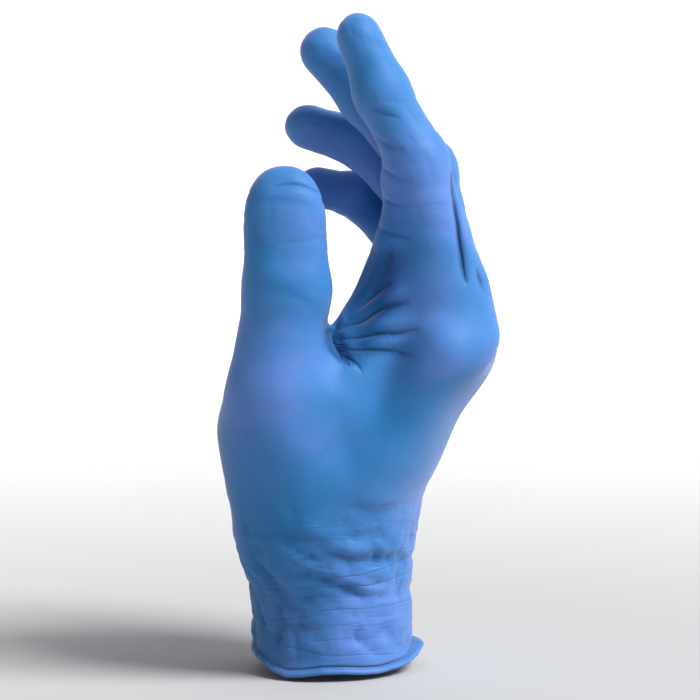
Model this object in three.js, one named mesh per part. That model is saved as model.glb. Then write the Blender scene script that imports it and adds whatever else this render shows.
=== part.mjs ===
// A right nitrile exam glove in its filled shape, its fingers curled a little, with a rolled cuff bead.
// The glove is one dipped piece: a thin hollow skin with five fingers, open only at the cuff.
// +Z runs from the cuff to the fingers, -X is the palm's side and -Y the thumb's side.
// The origin is the middle of the cuff's opening. Lengths are in millimetres, angles in degrees.

import * as THREE from "three";

// Driving dimensions of the film and the cuff
const WALL = 1.0;
const BEAD_DIAMETER = 2.6;
const CUFF_LENGTH = 40;
const CUFF_DEPTH = 52;
const CUFF_BREADTH = 60;

// Driving dimensions of the palm
const PALM_LENGTH = 77;
const PALM_BREADTH = 88;
const PALM_DEPTH = 26;
const PALM_LEAN = 33;
const HAND_TURN = 6;

// Driving dimensions of the fingers and the thumb
const FINGER_LENGTH = 101;
const FINGER_WIDTH = 19;
const THUMB_LENGTH = 104;
const THUMB_WIDTH = 27;

// How softly the film bridges from one part of the glove to the next
const PALM_BLEND = 12;
const THUMB_BLEND = 6;
const KNUCKLE_BLEND = 4;
const FINGER_ROOT_BLEND = 6;
const FINGER_GAP_BLEND = 3;

// Fineness of the skin: columns across a finger's back, columns on its side, and rows
const BACK_COLUMNS = 3;
const SIDE_COLUMNS = 2;
const PALM_ROWS = 10;
const FINGER_ROWS = 7;
const THUMB_ROWS = 8;
const BEAD_ROWS = 5;

// Fingers. across and along are shares of the palm's breadth and length, length and width shares of
// FINGER_LENGTH and FINGER_WIDTH. bones share out the finger's length, and lean is how far each bone
// tips towards the palm from upright. splay tips the whole finger towards the little finger's side.
const FINGERS = [
  {
    name: "index", across: -0.289, along: 1.015, out: 0.1, length: 0.98, width: 1.0, splay: 1,
    bones: [0.58, 0.24, 0.18], lean: [14.4, 28, 22], depths: [1.22, 0.98, 0.9, 0.77],
  },
  {
    name: "middle", across: -0.051, along: 1.024, out: 0.01, length: 1.005, width: 0.98, splay: 1,
    bones: [0.515, 0.29, 0.195], lean: [12.7, 40, 42.5], depths: [1.1, 1.0, 0.92, 0.86],
  },
  {
    name: "ring", across: 0.186, along: 0.951, out: 0.03, length: 0.91, width: 0.96, splay: -2,
    bones: [0.505, 0.29, 0.205], lean: [15.5, 43, 74], depths: [1.05, 1.0, 0.92, 0.8],
  },
  {
    name: "little", across: 0.385, along: 0.822, out: 0.0, length: 0.765, width: 0.86, splay: -6,
    bones: [0.53, 0.285, 0.185], lean: [18.4, 43, 78], depths: [1.05, 1.0, 0.92, 0.82],
  },
];

// A finger's width at its joints, and how far its tip reaches past the last one, as shares of its width
const FINGER_TAPER = [1, 1, 0.95, 0.86];
const FINGER_TIP = 0.92;

// The thumb's bones, from the wrist to the tip: shares of THUMB_LENGTH and THUMB_WIDTH.
const THUMB = {
  root: { across: -0.198, along: 0.043, out: -0.229 },
  bones: [0.445, 0.31, 0.174],
  lean: [14.9, -5.2, 1.6],
  splay: [-20.2, -5.3, -6.3],
  widths: [1.6, 1.15, 0.985, 0.96],
  depths: [1.45, 1.05, 0.86, 0.72],
  tip: 1.5,
  square: 2.3,
};

const degrees = THREE.MathUtils.degToRad;
const mix = THREE.MathUtils.lerp;
const UP = new THREE.Vector3(0, 0, 1);

// The palm's own directions: along to the knuckles, out through its back, across to the little finger
const across = new THREE.Vector3(Math.sin(degrees(HAND_TURN)), Math.cos(degrees(HAND_TURN)), 0);
const along = UP.clone().applyAxisAngle(across, degrees(PALM_LEAN));
const out = new THREE.Vector3().crossVectors(across, along);
const wrist = new THREE.Vector3(-1, 0, CUFF_LENGTH);

// A point of the palm, given as shares of its breadth, length and depth from the wrist.
function palmPoint(share) {
  return wrist
    .clone()
    .addScaledVector(across, share.across * PALM_BREADTH)
    .addScaledVector(along, share.along * PALM_LENGTH)
    .addScaledVector(out, share.out * PALM_DEPTH);
}

// A unit vector that leans from upright to the palm's side, and splays to the little finger's side.
function direction(lean, splay) {
  const l = degrees(lean);
  const s = degrees(splay);
  return new THREE.Vector3(-Math.sin(l) * Math.cos(s), Math.sin(s), Math.cos(l) * Math.cos(s));
}

// A limb is a tapered tube of oval section between two joints, with rounded ends. half holds the
// half widths at its two ends, deep the half depths, and cap how far its far end reaches past it.
function limb(from, to, side, half, deep, cap = null, square = 2) {
  const axis = to.clone().sub(from);
  const length = axis.length();
  axis.normalize();
  const back = new THREE.Vector3().crossVectors(side, axis).normalize();
  const flank = new THREE.Vector3().crossVectors(axis, back);
  return { from, axis, flank, back, length, half, deep, cap: cap ?? Math.min(half[1], deep[1]), square };
}

// Signed distance to a limb's surface, measured along the ray from its middle line.
function limbField(p, l) {
  const x = p.x - l.from.x;
  const y = p.y - l.from.y;
  const z = p.z - l.from.z;
  const a = x * l.axis.x + y * l.axis.y + z * l.axis.z;
  const h = Math.min(Math.max(a / l.length, 0), 1);
  const s = h * h * (3 - 2 * h);
  const past = a - h * l.length;
  const flank = x * l.flank.x + y * l.flank.y + z * l.flank.z;
  const back = x * l.back.x + y * l.back.y + z * l.back.z;
  const end = past > 0 ? l.cap : Math.min(l.half[0], l.deep[0]);
  const power =
    Math.abs(flank / mix(l.half[0], l.half[1], s)) ** l.square +
    Math.abs(back / mix(l.deep[0], l.deep[1], s)) ** l.square +
    Math.abs(past / end) ** l.square;
  const reach = Math.hypot(flank, back, past);
  return reach - reach / Math.max(power, 1e-9) ** (1 / l.square);
}

// The smaller of two distances, rounded where they are nearly equal.
function blend(a, b, softness) {
  const h = Math.max(softness - Math.abs(a - b), 0) / softness;
  return Math.min(a, b) - (h * h * softness) / 4;
}

// Joints of a finger, from its knuckle to the middle of its tip.
function fingerJoints(f) {
  const joints = [palmPoint(f)];
  f.bones.forEach((share, i) => {
    const step = direction(f.lean[i], f.splay).multiplyScalar(share * f.length * FINGER_LENGTH);
    joints.push(joints[i].clone().add(step));
  });
  return joints;
}

function fingerLimbs(f, joints) {
  const half = (f.width * FINGER_WIDTH) / 2;
  return f.bones.map((_, i) =>
    limb(
      joints[i],
      joints[i + 1],
      across,
      [half * FINGER_TAPER[i], half * FINGER_TAPER[i + 1]],
      [half * f.depths[i], half * f.depths[i + 1]],
      i === 2 ? half * FINGER_TIP : null,
    ),
  );
}

function thumbJoints() {
  const joints = [palmPoint(THUMB.root)];
  THUMB.bones.forEach((share, i) => {
    const step = direction(THUMB.lean[i], THUMB.splay[i]).multiplyScalar(share * THUMB_LENGTH);
    joints.push(joints[i].clone().add(step));
  });
  return joints;
}

// The thumb is seen from its back, so its width lies along X.
function thumbLimbs(joints) {
  const half = THUMB_WIDTH / 2;
  const side = new THREE.Vector3(1, 0, 0);
  return THUMB.bones.map((_, i) =>
    limb(
      joints[i],
      joints[i + 1],
      side,
      [half * THUMB.widths[i], half * THUMB.widths[i + 1]],
      [half * THUMB.depths[i], half * THUMB.depths[i + 1]],
      i === 2 ? half * THUMB.tip : null,
      i === 2 ? THUMB.square : 2,
    ),
  );
}

// The palm's masses: shares of the palm's breadth, length and depth for both ends' places and halves.
const MASSES = [
  {
    name: "carpus",
    from: { across: 0, along: -0.02, out: 0 },
    to: { across: 0, along: 0.4, out: -0.02 },
    half: [0.32, 0.4], deep: [0.82, 0.52], square: 2.3,
  },
  {
    name: "back of the palm",
    from: { across: 0, along: 0.18, out: 0.26 },
    to: { across: 0.02, along: 0.9, out: 0.04 },
    half: [0.3, 0.41], deep: [0.42, 0.4], square: 2.4,
  },
  {
    name: "palm",
    from: { across: 0, along: 0.3, out: -0.02 },
    to: { across: 0.01, along: 0.93, out: -0.02 },
    half: [0.4, 0.44], deep: [0.5, 0.42], square: 2.6,
  },
  {
    name: "heel",
    from: { across: 0.19, along: 0.02, out: -0.26 },
    to: { across: 0.33, along: 0.517, out: -0.4 },
    half: [0.18, 0.16], deep: [0.65, 0.58], square: 2,
  },
  {
    name: "ball of the thumb",
    from: { across: -0.214, along: 0.0, out: -0.333 },
    to: { across: -0.28, along: 0.297, out: -1.048 },
    half: [0.24, 0.26], deep: [0.84, 0.88], square: 2,
  },
  {
    name: "knuckle row",
    from: { across: -0.33, along: 0.97, out: 0 },
    to: { across: 0.33, along: 0.84, out: 0 },
    half: [0.12, 0.12], deep: [0.46, 0.4], square: 2,
  },
  {
    name: "finger webs",
    from: { across: -0.25, along: 1.16, out: -0.24 },
    to: { across: 0.27, along: 1.0, out: -0.2 },
    half: [0.08, 0.07], deep: [0.3, 0.26], square: 2,
  },
  {
    name: "thumb web",
    from: { across: -0.35, along: 0.541, out: -0.782 },
    to: { across: -0.2, along: 1.162, out: -0.846 },
    half: [0.11, 0.1], deep: [0.5, 0.5], square: 2,
  },
  {
    name: "index web",
    from: { across: -0.24, along: 1.137, out: -0.747 },
    to: { across: -0.27, along: 1.432, out: -1.449 },
    half: [0.1, 0.08], deep: [0.5, 0.37], square: 2,
  },
];

// The film's main folds: dents along a bent line, in shares of the palm as above. depth and width,
// the dent's half width, are in film walls.
const FOLDS = [
  {
    name: "thumb crotch, upper",
    line: [
      { across: -0.427, along: 0.772, out: -1.211 },
      { across: -0.414, along: 0.893, out: -0.942 },
      { across: -0.400, along: 1.026, out: -0.651 },
    ],
    depth: 1.5, width: 2.2,
  },
  {
    name: "thumb crotch, lower",
    line: [
      { across: -0.450, along: 0.715, out: -1.116 },
      { across: -0.447, along: 0.804, out: -0.711 },
      { across: -0.431, along: 0.885, out: -0.273 },
    ],
    depth: 1.3, width: 2.5,
  },
  {
    name: "back of the index finger",
    line: [
      { across: -0.349, along: 1.545, out: -1.006 },
      { across: -0.357, along: 1.379, out: -0.563 },
      { across: -0.355, along: 1.211, out: -0.168 },
    ],
    depth: 1.2, width: 2.2,
  },
  {
    name: "wrist",
    line: [
      { across: -0.271, along: -0.096, out: -0.577 },
      { across: -0.346, along: 0.007, out: 0.317 },
      { across: -0.154, along: 0.076, out: 0.980 },
    ],
    depth: 1.5, width: 2.8,
  },
  {
    name: "cuff",
    line: [
      { across: -0.269, along: -0.212, out: -0.262 },
      { across: -0.329, along: -0.275, out: 0.160 },
      { across: -0.347, along: -0.250, out: 0.766 },
    ],
    depth: 1.3, width: 3,
  },
];

function massLimb(m) {
  return limb(
    palmPoint(m.from),
    palmPoint(m.to),
    across,
    m.half.map((share) => share * PALM_BREADTH),
    m.deep.map((share) => share * PALM_DEPTH),
    null,
    m.square,
  );
}

const fingers = FINGERS.map((f) => {
  const joints = fingerJoints(f);
  return { ...f, joints, limbs: fingerLimbs(f, joints) };
});
const thumb = { joints: thumbJoints() };
thumb.limbs = thumbLimbs(thumb.joints);
const sleeve = limb(
  new THREE.Vector3(0, 0, -CUFF_LENGTH),
  wrist,
  new THREE.Vector3(0, 1, 0),
  [CUFF_BREADTH / 2, CUFF_BREADTH / 2],
  [CUFF_DEPTH / 2, CUFF_DEPTH / 2],
  CUFF_DEPTH / 3,
);
const masses = MASSES.map(massLimb);
const folds = FOLDS.map((f) => ({ ...f, line: f.line.map(palmPoint) }));

// How deep the folds dent the film at a point, fading out towards each fold's ends.
function foldDent(p) {
  let dent = 0;
  for (const f of folds) {
    let near = Infinity;
    let at = 0;
    for (let i = 0; i + 1 < f.line.length; i++) {
      const [a, b] = [f.line[i], f.line[i + 1]];
      const step = b.clone().sub(a);
      const h = THREE.MathUtils.clamp(p.clone().sub(a).dot(step) / step.lengthSq(), 0, 1);
      const distance = p.distanceTo(a.clone().addScaledVector(step, h));
      if (distance < near) [near, at] = [distance, (i + h) / (f.line.length - 1)];
    }
    const share = near / (f.width * WALL);
    dent += f.depth * WALL * Math.exp(-(share ** 2)) * Math.sqrt(Math.sin(Math.PI * at));
  }
  return dent;
}

const chainField = (p, limbs, softness) =>
  limbs.reduce((sum, l) => blend(sum, limbField(p, l), softness), Infinity);

// Signed distance from the glove's outer skin: below zero inside it.
function skinField(p) {
  let body = blend(chainField(p, masses, PALM_BLEND), limbField(p, sleeve), PALM_BLEND);
  body = blend(body, chainField(p, thumb.limbs, KNUCKLE_BLEND), THUMB_BLEND);
  const digits = fingers
    .map((f) => chainField(p, f.limbs, KNUCKLE_BLEND))
    .reduce((sum, d) => blend(sum, d, FINGER_GAP_BLEND), Infinity);
  return blend(body, digits, FINGER_ROOT_BLEND) + foldDent(p);
}

const PROBE = 0.05;
function skinNormal(p) {
  const q = new THREE.Vector3();
  const slope = ["x", "y", "z"].map((key) => {
    q.copy(p)[key] += PROBE;
    const high = skinField(q);
    q.copy(p)[key] -= PROBE;
    return (high - skinField(q)) / (2 * PROBE);
  });
  return new THREE.Vector3(...slope);
}

// Moves a point onto the skin by short steps down the field's slope, in millimetres each.
const LONGEST_STEP = 4;
const FLATTEST_SLOPE = 0.5;
function settle(p, level, steps = 3) {
  for (let i = 0; i < steps; i++) {
    const slope = skinNormal(p);
    const step = (skinField(p) - level) / Math.max(slope.lengthSq(), FLATTEST_SLOPE ** 2);
    p.addScaledVector(slope, THREE.MathUtils.clamp(-step, -LONGEST_STEP, LONGEST_STEP));
  }
  return p;
}

// The rim's waves, at even turns from +X over -Y: how far it drops below the cuff's opening and flares
// out of the cuff, in bead diameters.
const RIM_WAVES = [
  { drop: -0.92, flare: 1.15 }, { drop: 0.38, flare: 0.8 }, { drop: 0.85, flare: 0.35 },
  { drop: 0.45, flare: 0.1 }, { drop: 1.1, flare: 0.1 }, { drop: -0.54, flare: 0 },
  { drop: -1.1, flare: 0.1 }, { drop: -0.77, flare: 0 }, { drop: -0.38, flare: 0 },
  { drop: -0.19, flare: 0 }, { drop: -0.38, flare: 0.2 }, { drop: -0.77, flare: 0.7 },
];

// A column of the rim's waves at an angle, gliding from one row to the next.
function rimWave(column, angle) {
  const turn = ((((-angle / (2 * Math.PI)) % 1) + 1) % 1) * RIM_WAVES.length;
  const i = Math.floor(turn);
  const h = turn - i;
  const [a, b] = [RIM_WAVES[i][column], RIM_WAVES[(i + 1) % RIM_WAVES.length][column]];
  return BEAD_DIAMETER * mix(a, b, h * h * (3 - 2 * h));
}

// The net of four-sided cells that is pulled onto the skin
const columnsRound = 8 * BACK_COLUMNS + 2 * SIDE_COLUMNS;
const points = [];
const cells = [];
const addPoint = (p) => points.push(p) - 1;

// Points that are placed well from the start, so that only the others are evened out
const held = new Set();
const ROOT_ROWS = 2;

// The palm's middle line and half sizes from the rim up to the webs, as the net's first guess. drop
// is how far a ring falls towards the little finger, as a share of the palm's length.
const STATIONS = [
  {
    at: 0, center: new THREE.Vector3(0, 0, 0), breadth: CUFF_BREADTH / 2, depth: CUFF_DEPTH / 2,
    tilt: 0, drop: 0,
  },
  { at: 0.3, center: wrist, breadth: CUFF_BREADTH / 2, depth: CUFF_DEPTH / 2, tilt: 0.35, drop: 0 },
  {
    at: 0.6, center: palmPoint({ across: 0, along: 0.45, out: -0.2 }), breadth: 0.47 * PALM_BREADTH,
    depth: 0.8 * PALM_DEPTH, tilt: 0.9, drop: 0,
  },
  {
    at: 0.85, center: palmPoint({ across: 0, along: 0.92, out: -0.1 }), breadth: 0.48 * PALM_BREADTH,
    depth: 0.65 * PALM_DEPTH, tilt: 0.7, drop: 0.12,
  },
  {
    at: 1, center: palmPoint({ across: 0, along: 1.2, out: -0.3 }), breadth: 0.45 * PALM_BREADTH,
    depth: 0.45 * PALM_DEPTH, tilt: 0, drop: 0.24,
  },
];

function stationAt(t) {
  const i = Math.min(STATIONS.findIndex((s, k) => k > 0 && t <= s.at + 1e-9), STATIONS.length - 1);
  const [a, b] = [STATIONS[i - 1], STATIONS[i]];
  const h = (t - a.at) / (b.at - a.at);
  return {
    center: a.center.clone().lerp(b.center, h),
    breadth: mix(a.breadth, b.breadth, h),
    depth: mix(a.depth, b.depth, h),
    tilt: mix(a.tilt, b.tilt, h),
    drop: mix(a.drop, b.drop, h),
  };
}

// The angle of each column round the palm, from the thumb's side over the back and the little
// finger's side to the palm. The back and the palm take up BROAD_SIDE degrees each.
const BROAD_SIDE = 150;
function columnAngle(c) {
  const broad = 4 * BACK_COLUMNS;
  const half = broad + SIDE_COLUMNS;
  const turned = c >= half ? 180 : 0;
  const i = c % half;
  const onBroad = Math.min(i, broad) / broad;
  const onNarrow = Math.max(i - broad, 0) / SIDE_COLUMNS;
  return degrees(90 + BROAD_SIDE / 2 - turned - BROAD_SIDE * onBroad - (180 - BROAD_SIDE) * onNarrow);
}

// The net's first guess is drawn out over the film between thumb and index finger. WEB_ROWS says how
// far along the film each row lies, and WEB_COLUMNS how near a column lies to the film's edge and how
// far to its side. Columns run round from the palm to the thumb's side.
const WEB_ROWS = { 7: 0.4, 8: 0.6, 9: 0.8, 10: 1 };
const WEB_COLUMNS = [
  { share: 0.35, aside: 1.6 }, { share: 0.85, aside: 0.9 }, { share: 1, aside: 0 },
  { share: 0.85, aside: -0.9 }, { share: 0.25, aside: -1 },
];
const web = masses[MASSES.findIndex((m) => m.name === "thumb web")];
function webPoint(h, aside) {
  return web.from
    .clone()
    .addScaledVector(web.axis, h * web.length)
    .addScaledVector(web.back, -web.deep[0])
    .addScaledVector(web.flank, aside * web.half[0]);
}

// Where the thumb leaves the palm: the rows and columns of palm cells that its root takes up
const THUMB_HOLE = { firstRow: 4, lastRow: 7, columns: 4, beforeEnd: 3 };

// How a digit's tube of rings starts: how far along its bones, how far its rings slant, as a share
// of the thumb's length, and how far they're turned. DOME is the share of the tip that rings cover.
const FINGER_TUBE = { start: 0.17 };
const THUMB_TUBE = { start: 0.25, slant: 0.31, turn: 135 };
const DOME = 0.55;

const thumbFirst = columnsRound - SIDE_COLUMNS - THUMB_HOLE.beforeEnd;
const column = (c) => (c + columnsRound) % columnsRound;
const insideHole = (r, c) =>
  r > THUMB_HOLE.firstRow && r < THUMB_HOLE.lastRow &&
  column(c - thumbFirst) > 0 && column(c - thumbFirst) < THUMB_HOLE.columns;

const palmNet = [];
for (let r = 0; r <= PALM_ROWS; r++) {
  const s = stationAt(r / PALM_ROWS);
  const outward = new THREE.Vector3(1, 0, 0).lerp(out, s.tilt).normalize();
  const row = [];
  for (let c = 0; c < columnsRound; c++) {
    const a = columnAngle(c);
    const p = s.center
      .clone()
      .addScaledVector(across, Math.cos(a) * s.breadth)
      .addScaledVector(outward, Math.sin(a) * s.depth)
      .addScaledVector(along, -Math.max(Math.cos(a), 0) * s.drop * PALM_LENGTH);
    const nearWeb = WEB_COLUMNS[(c + SIDE_COLUMNS + 2) % columnsRound];
    if (r in WEB_ROWS && nearWeb) p.lerp(webPoint(WEB_ROWS[r], nearWeb.aside), nearWeb.share);
    if (r === 0) {
      const around = Math.atan2(p.y, p.x);
      p.addScaledVector(p.clone().normalize(), rimWave("flare", around));
      p.z -= rimWave("drop", around);
    }
    row.push(insideHole(r, c) ? null : addPoint(p));
  }
  palmNet.push(row);
}


for (let r = 0; r < PALM_ROWS; r++)
  for (let c = 0; c < columnsRound; c++) {
    const inRows = r >= THUMB_HOLE.firstRow && r < THUMB_HOLE.lastRow;
    if (inRows && column(c - thumbFirst) < THUMB_HOLE.columns) continue;
    const [row, above] = [palmNet[r], palmNet[r + 1]];
    cells.push([row[c], row[column(c + 1)], above[column(c + 1)], above[c]]);
  }

// Adds a tube of rings from an existing first ring along a path of joints, and closes it with a cap
// of wide by high cells. angleOf gives a ring point's angle, and start is how far along it begins.
function addTube(first, limbs, rows, start, angleOf, wide, high, slant = 0) {
  const last = limbs[limbs.length - 1];
  const total = limbs.reduce((sum, l) => sum + l.length, 0) + DOME * last.cap;
  let previous = first;
  for (let r = 1; r <= rows; r++) {
    let at = mix(start, 1, r / rows) * total;
    let l = limbs[0];
    for (const next of limbs) {
      l = next;
      if (at <= l.length || next === last) break;
      at -= l.length;
    }
    const h = Math.min(at / l.length, 1);
    const dome = Math.sqrt(1 - Math.max((at - l.length) / last.cap, 0) ** 2);
    const half = mix(l.half[0], l.half[1], h) * dome;
    const deep = mix(l.deep[0], l.deep[1], h) * dome;
    const rise = slant * Math.max(1 - (r - 1) / (rows - 2), 0);
    const ring = first.map((_, i) =>
      addPoint(
        l.from
          .clone()
          .addScaledVector(l.axis, at + (rise * (1 + Math.cos(angleOf(i)))) / 2)
          .addScaledVector(l.flank, Math.cos(angleOf(i)) * half)
          .addScaledVector(l.back, Math.sin(angleOf(i)) * deep),
      ),
    );
    ring.forEach((_, i) => {
      const j = (i + 1) % ring.length;
      cells.push([previous[i], previous[j], ring[j], ring[i]]);
    });
    if (r > ROOT_ROWS) ring.forEach((i) => held.add(i));
    previous = ring;
  }
  const tip = last.from.clone().addScaledVector(last.axis, last.length + last.cap);
  addCap(previous, wide, high, tip);
}

// Closes a ring of 2 x (wide + high) points with a patch of wide by high cells, whose inner points
// are pulled most of the way to the tip.
const TIP_PULL = 0.8;
function addCap(ring, wide, high, tip) {
  const grid = [];
  for (let j = 0; j <= high; j++) {
    const line = [];
    for (let i = 0; i <= wide; i++) {
      const atEdge = i === 0 || i === wide || j === 0 || j === high;
      if (atEdge) {
        const n = ring.length;
        if (j === 0) line.push(ring[i]);
        else if (i === wide) line.push(ring[wide + j]);
        else if (j === high) line.push(ring[wide + high + (wide - i)]);
        else line.push(ring[n - j]);
      } else {
        const u = i / wide;
        const v = j / high;
        const a = points[ring[0]].clone().lerp(points[ring[wide]], u);
        const b = points[ring[2 * wide + high]].clone().lerp(points[ring[wide + high]], u);
        line.push(addPoint(a.lerp(b, v).lerp(tip, TIP_PULL)));
        held.add(line[i]);
      }
    }
    grid.push(line);
  }
  for (let j = 0; j < high; j++)
    for (let i = 0; i < wide; i++)
      cells.push([grid[j][i], grid[j][i + 1], grid[j + 1][i + 1], grid[j + 1][i]]);
}

// A finger's first ring: its share of the palm's last row, closed by the web lines on either side.
const lastRow = palmNet[PALM_ROWS];
const backColumn = (j) => lastRow[j];
const palmColumn = (j) => lastRow[4 * BACK_COLUMNS + SIDE_COLUMNS + (4 * BACK_COLUMNS - j)];
const WEB_RISE = 0.05;
const webs = [0, 1, 2, 3, 4].map((w) => {
  if (w === 0) return lastRow.slice(8 * BACK_COLUMNS + SIDE_COLUMNS + 1);
  if (w === 4) return lastRow.slice(4 * BACK_COLUMNS + 1, 4 * BACK_COLUMNS + SIDE_COLUMNS).reverse();
  const top = points[backColumn(w * BACK_COLUMNS)];
  const bottom = points[palmColumn(w * BACK_COLUMNS)];
  return Array.from({ length: SIDE_COLUMNS - 1 }, (_, i) =>
    addPoint(bottom.clone().lerp(top, (i + 1) / SIDE_COLUMNS).addScaledVector(UP, WEB_RISE * PALM_LENGTH)),
  );
});

const fingerRound = 2 * (BACK_COLUMNS + SIDE_COLUMNS);
const fingerAngle = (i) => degrees(180 - (180 * SIDE_COLUMNS) / fingerRound - (360 * i) / fingerRound);
fingers.forEach((f, n) => {
  const first = [];
  for (let j = 0; j <= BACK_COLUMNS; j++) first.push(backColumn(n * BACK_COLUMNS + j));
  first.push(...[...webs[n + 1]].reverse());
  for (let j = BACK_COLUMNS; j >= 0; j--) first.push(palmColumn(n * BACK_COLUMNS + j));
  first.push(...webs[n]);
  addTube(first, f.limbs, FINGER_ROWS, FINGER_TUBE.start, fingerAngle, BACK_COLUMNS, SIDE_COLUMNS);
});

// The thumb's first ring runs round the cells left out of the palm.
const thumbRing = [];
for (let j = 0; j < THUMB_HOLE.columns; j++)
  thumbRing.push(palmNet[THUMB_HOLE.firstRow][column(thumbFirst + j)]);
for (let r = THUMB_HOLE.firstRow; r < THUMB_HOLE.lastRow; r++)
  thumbRing.push(palmNet[r][column(thumbFirst + THUMB_HOLE.columns)]);
for (let j = THUMB_HOLE.columns; j > 0; j--)
  thumbRing.push(palmNet[THUMB_HOLE.lastRow][column(thumbFirst + j)]);
for (let r = THUMB_HOLE.lastRow; r > THUMB_HOLE.firstRow; r--) thumbRing.push(palmNet[r][thumbFirst]);
const thumbRound = thumbRing.length;
const thumbHigh = THUMB_HOLE.lastRow - THUMB_HOLE.firstRow;
const thumbAngle = (i) => degrees(THUMB_TUBE.turn + (180 * THUMB_HOLE.columns - 360 * i) / thumbRound);
const thumbSlant = THUMB_TUBE.slant * THUMB_LENGTH;
addTube(
  thumbRing, thumb.limbs, THUMB_ROWS, THUMB_TUBE.start, thumbAngle, THUMB_HOLE.columns, thumbHigh, thumbSlant,
);

// Evens out the net: each point slides along the skin, part of the way to its neighbours' middle.
const SLIDE = 0.6;
const COARSE_ROUNDS = 14;
const FINE_ROUNDS = 6;
function relax(rounds) {
  const near = points.map(() => new Set());
  for (const cell of cells)
    cell.forEach((p, i) => {
      near[p].add(cell[(i + 1) % 4]);
      near[p].add(cell[(i + 3) % 4]);
    });
  for (let n = 0; n < rounds; n++) {
    const moved = points.map((p, i) => {
      if (held.has(i)) return p.clone();
      const move = new THREE.Vector3();
      near[i].forEach((k) => move.add(points[k]));
      move.divideScalar(near[i].size).sub(p).multiplyScalar(SLIDE);
      const normal = skinNormal(p).normalize();
      return move.addScaledVector(normal, -move.dot(normal)).add(p);
    });
    moved.forEach((p, i) => points[i].copy(settle(p, 0, 2)));
  }
}

// Splits each cell into four.
function split() {
  const middles = new Map();
  const middle = (a, b) => {
    const key = a < b ? a + "_" + b : b + "_" + a;
    if (!middles.has(key)) {
      const m = addPoint(points[a].clone().lerp(points[b], 0.5));
      middles.set(key, m);
      if (rim.has(a) && rim.has(b)) rim.add(m);
      if (held.has(a) && held.has(b)) held.add(m);
    }
    return middles.get(key);
  };
  const old = cells.splice(0);
  for (const cell of old) {
    const center = addPoint(
      cell.reduce((sum, p) => sum.add(points[p]), new THREE.Vector3()).divideScalar(4),
    );
    const edge = cell.map((p, i) => middle(p, cell[(i + 1) % 4]));
    cell.forEach((p, i) => cells.push([p, edge[i], center, edge[(i + 3) % 4]]));
  }
}

const rim = new Set(palmNet[0]);
palmNet[0].forEach((i) => held.add(i));
points.forEach((p, i) => rim.has(i) || settle(p, 0, 6));
relax(COARSE_ROUNDS);
split();
points.forEach((p, i) => rim.has(i) || settle(p, 0, 4));
relax(FINE_ROUNDS);

// Walls: the outer skin, the same net one wall further in, and the bead that joins them at the rim.
const inner = points.map((p) => p.clone().addScaledVector(skinNormal(p).normalize(), -WALL));
const vertices = [...points, ...inner];
const faces = [...cells.map((c) => [...c]), ...cells.map((c) => c.map((i) => i + points.length).reverse())];

// The rim's points in order round the cuff
const rimOrder = [...rim].sort(
  (a, b) => Math.atan2(points[a].y, points[a].x) - Math.atan2(points[b].y, points[b].x),
);
// The bead's section: the turns in degrees between which it rolls, and how far its middle hangs.
const BEAD_ROLL = { from: 70, to: -250, hang: 0.45 };
const beadRows = [rimOrder];
for (let r = 1; r < BEAD_ROWS; r++) {
  const turn = degrees(mix(BEAD_ROLL.from, BEAD_ROLL.to, r / BEAD_ROWS));
  beadRows.push(
    rimOrder.map((i) => {
      const outward = points[i].clone().sub(inner[i]).setZ(0).normalize();
      const center = points[i].clone().addScaledVector(outward, -WALL / 2);
      center.z -= BEAD_DIAMETER * BEAD_ROLL.hang;
      center.addScaledVector(outward, (Math.cos(turn) * BEAD_DIAMETER) / 2);
      center.z += (Math.sin(turn) * BEAD_DIAMETER) / 2;
      return vertices.push(center) - 1;
    }),
  );
}
beadRows.push(rimOrder.map((i) => i + points.length));
for (let r = 0; r < BEAD_ROWS; r++)
  rimOrder.forEach((_, i) => {
    const j = (i + 1) % rimOrder.length;
    faces.push([beadRows[r][j], beadRows[r][i], beadRows[r + 1][i], beadRows[r + 1][j]]);
  });

const geometry = new THREE.BufferGeometry();
geometry.setAttribute("position", new THREE.Float32BufferAttribute(vertices.flatMap((v) => v.toArray()), 3));
geometry.setIndex(faces.flatMap(([a, b, c, d]) => [a, b, c, a, c, d]));
geometry.computeVertexNormals();

const nitrile = new THREE.MeshStandardMaterial({ color: 0x3f86cc, roughness: 0.5, metalness: 0 });
const glove = new THREE.Mesh(geometry, nitrile);
glove.name = "glove";

const group = new THREE.Group();
group.add(glove);
export default group;
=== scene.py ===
# %% [markdown]
# # A nitrile exam glove in its filled shape
#
# A nitrile glove is one piece: a porcelain former is dipped in liquid rubber, the film is cured,
# its edge is rolled into a bead and the whole skin is peeled off. So there is nothing here to
# assemble. The work is in one skin: its filled, curled shape, its folds where it is pulled
# or bunched, and its soft satin shine. The glove is hollow and open only at the cuff.
#
# The skin is made in three moves. First the glove's volume is written as a field, a function that
# says how far any point in space lies from the skin. Then a net of four-sided cells is laid
# round it and pulled onto it. Last, the net is split finer and dented along the folds.

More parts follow.
